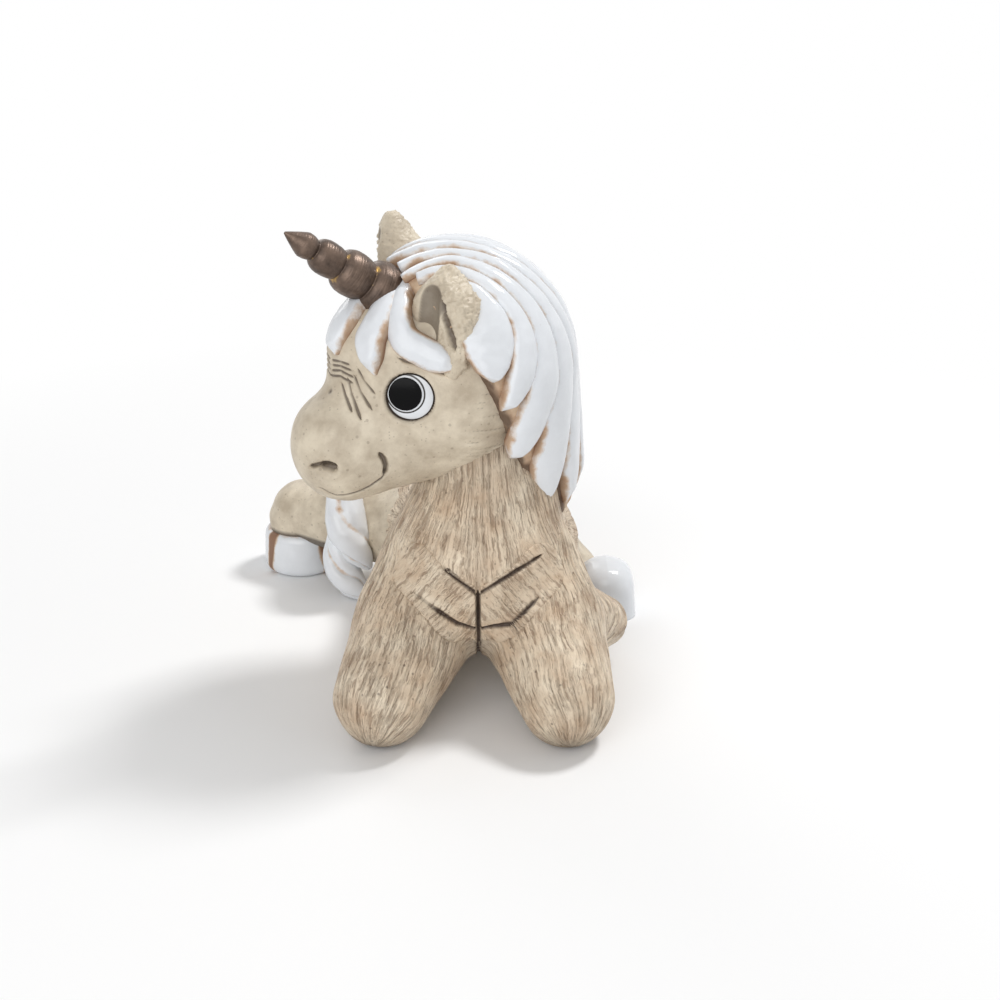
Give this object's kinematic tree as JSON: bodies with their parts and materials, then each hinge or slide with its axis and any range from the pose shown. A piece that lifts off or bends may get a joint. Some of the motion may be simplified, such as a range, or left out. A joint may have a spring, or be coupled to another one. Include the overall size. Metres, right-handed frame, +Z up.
{
  "type": "unicorn figurine",
  "caption": "Small ceramic foal with a beaded horn, lying with its forelegs out and its head turned aside, carved fur and a glazed white mane and tail.",
  "frame": {"origin": "on the ground, under the middle of the trunk's flat base", "axes": "+Z up, the animal faces -Y, +X to the animal's own left"},
  "size_m": [0.0938, 0.1053, 0.1013],
  "materials": {
    "washed_clay": "unglazed stoneware, carved as fur, brown stain wiped into the grooves",
    "bare_clay": "unglazed stoneware, pinkish, matt",
    "white_glaze": "glossy white glaze",
    "black_glaze": "glossy black glaze",
    "lustre": "dark bronze lustre over gloss glaze, worn to gold on the beads"
  },
  "bodies": {
    "root": {"body_shell": "washed_clay", "chest_fold_left": "washed_clay", "chest_fold_right": "washed_clay", "ear_left": "washed_clay", "ear_right": "washed_clay", "eye_white_left": "white_glaze", "eye_white_right": "white_glaze", "foreleg_left": "washed_clay", "foreleg_right": "washed_clay", "forelock_1": "white_glaze", "forelock_2": "white_glaze", "forelock_3": "white_glaze", "forelock_4": "white_glaze", "haunch_left": "washed_clay", "haunch_right": "washed_clay", "head_shell": "washed_clay", "hind_leg_left": "washed_clay", "hind_leg_right": "washed_clay", "hoof_left": "white_glaze", "hoof_right": "white_glaze", "horn": "lustre", "mane_bed": "bare_clay", "mane_left_1": "white_glaze", "mane_left_2": "white_glaze", "mane_left_3": "white_glaze", "mane_left_4": "white_glaze", "mane_left_5": "white_glaze", "mane_left_6": "white_glaze", "mane_left_7": "white_glaze", "mane_right_1": "white_glaze", "mane_right_2": "white_glaze", "mane_right_3": "white_glaze", "mane_right_4": "white_glaze", "mane_right_5": "white_glaze", "mane_right_6": "white_glaze", "mane_right_7": "white_glaze", "pupil_left": "black_glaze", "pupil_right": "black_glaze", "tail_dock": "washed_clay", "tail_lock_main": "white_glaze", "tail_lock_outer": "white_glaze"}
  },
  "joints": []
}
